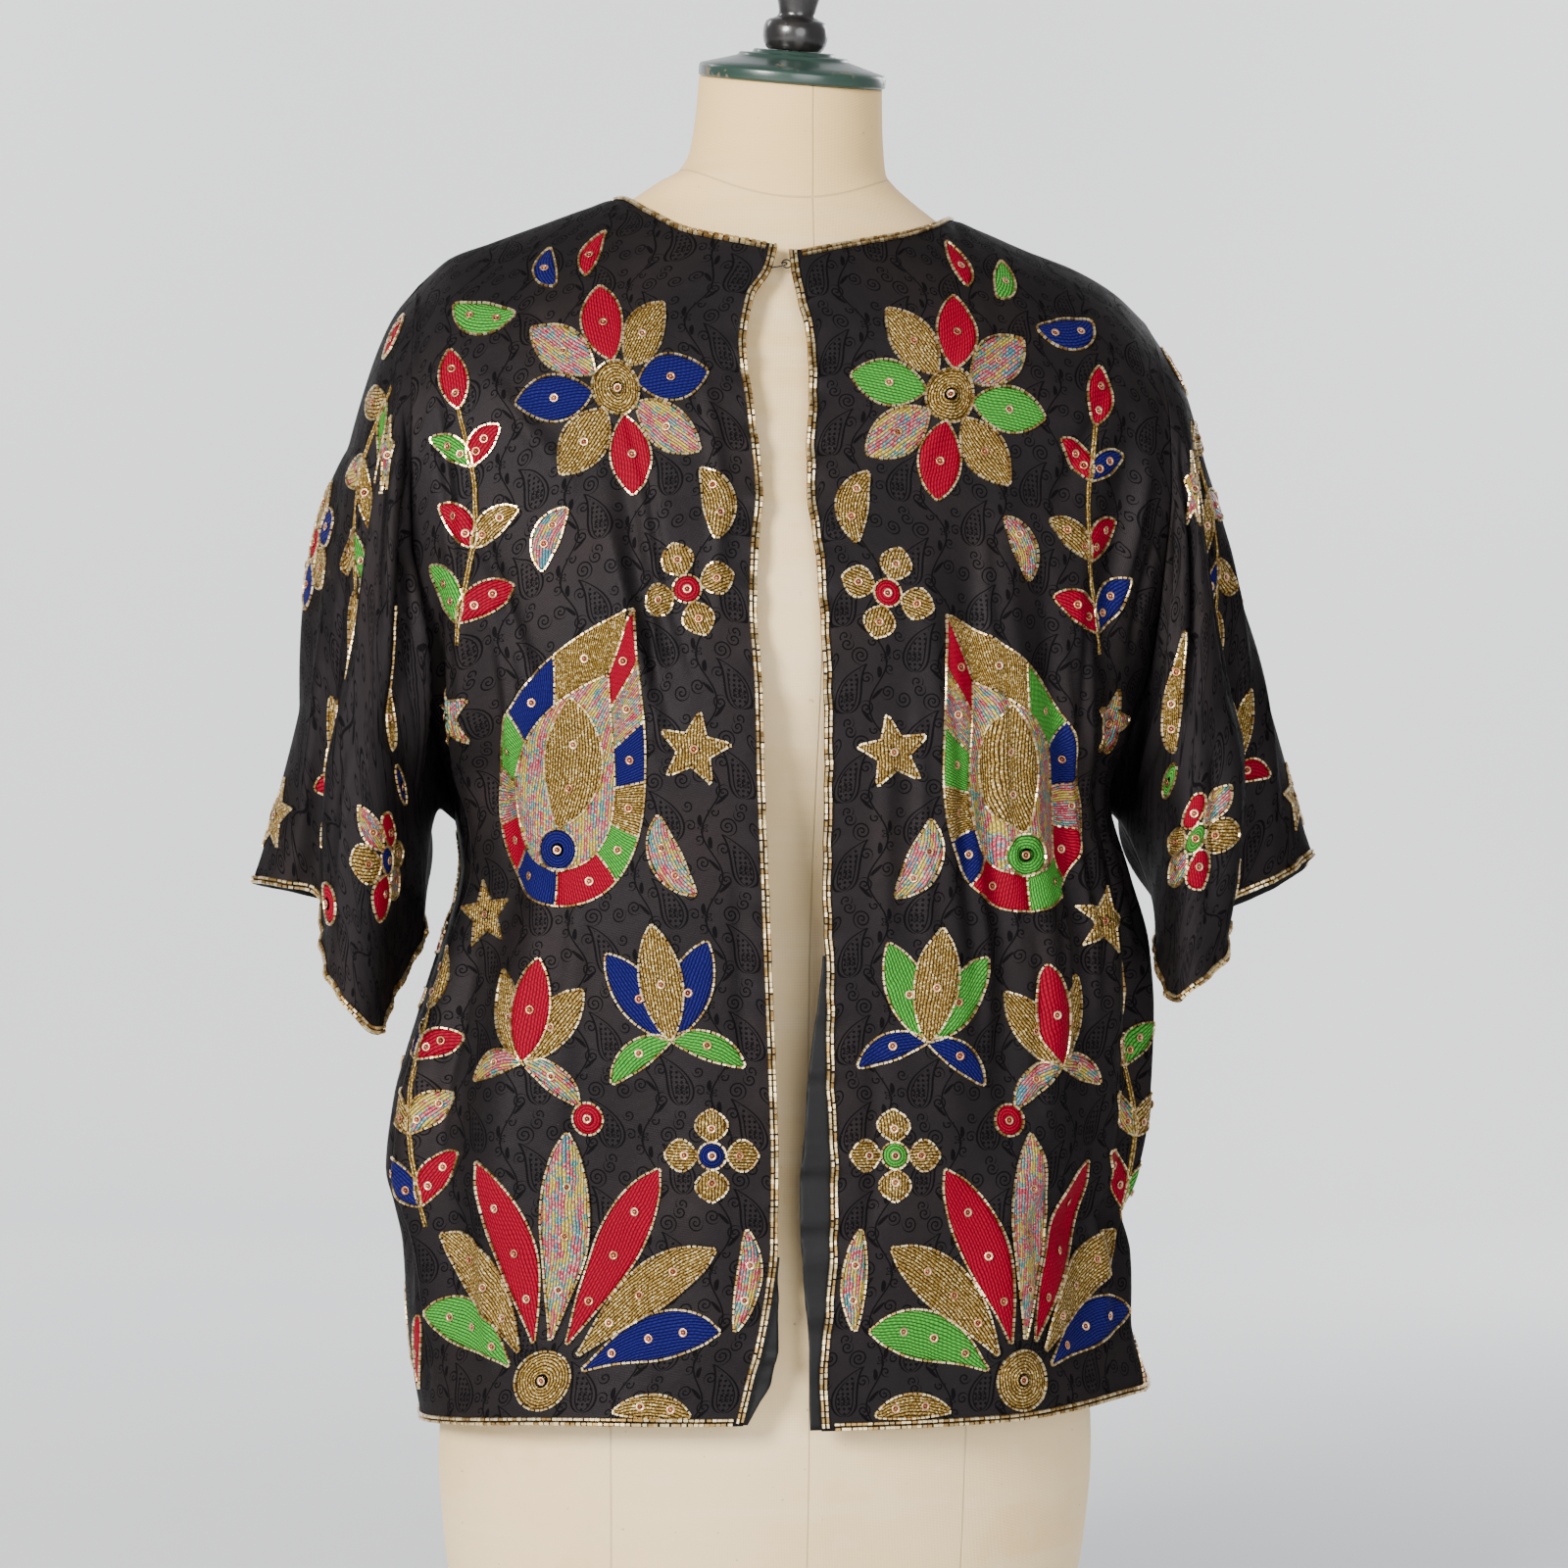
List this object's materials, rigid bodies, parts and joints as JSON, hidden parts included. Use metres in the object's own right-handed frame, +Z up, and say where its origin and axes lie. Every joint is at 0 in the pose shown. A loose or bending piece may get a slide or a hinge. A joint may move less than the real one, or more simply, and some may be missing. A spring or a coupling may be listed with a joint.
{
  "type": "beaded jacket on a dress form",
  "caption": "Hip-length open-front silk jacket with wide elbow sleeves, bead edging and worked patches, on a limbless dress form with a turned foot.",
  "frame": {"origin": "centre of the underside of the form's foot", "axes": "+Z up, -Y the way the wearer faces, +X the wearer's left"},
  "size_m": [0.6166, 0.3, 1.0104],
  "materials": {
    "silk": "black silk woven with a tone-on-tone leaf and scroll pattern, soft sheen",
    "facing": "plain black silk, a little smoother",
    "beads": "gold-lined glass bugle beads in two rows",
    "wire": "black enamelled wire",
    "canvas": "aged cream canvas over papier-mache, matt",
    "green_paint": "dark green gloss paint, chipped at the rim",
    "wood": "black stained and polished, turned"
  },
  "bodies": {
    "root": {"back": "silk", "front_right": "silk", "sleeve_right": "silk", "front_left": "silk", "sleeve_left": "silk", "facing_right": "facing", "edging_front_right": "beads", "edging_neck_right": "beads", "edging_hem_right": "beads", "edging_cuff_right": "beads", "facing_left": "facing", "edging_front_left": "beads", "edging_neck_left": "beads", "edging_hem_left": "beads", "edging_cuff_left": "beads", "edging_neck_back": "beads", "edging_hem_back": "beads", "neck_eye": "wire", "neck_hook": "wire", "form_torso": "canvas", "form_cap": "green_paint", "form_finial": "wood", "form_foot": "wood"}
  },
  "joints": []
}
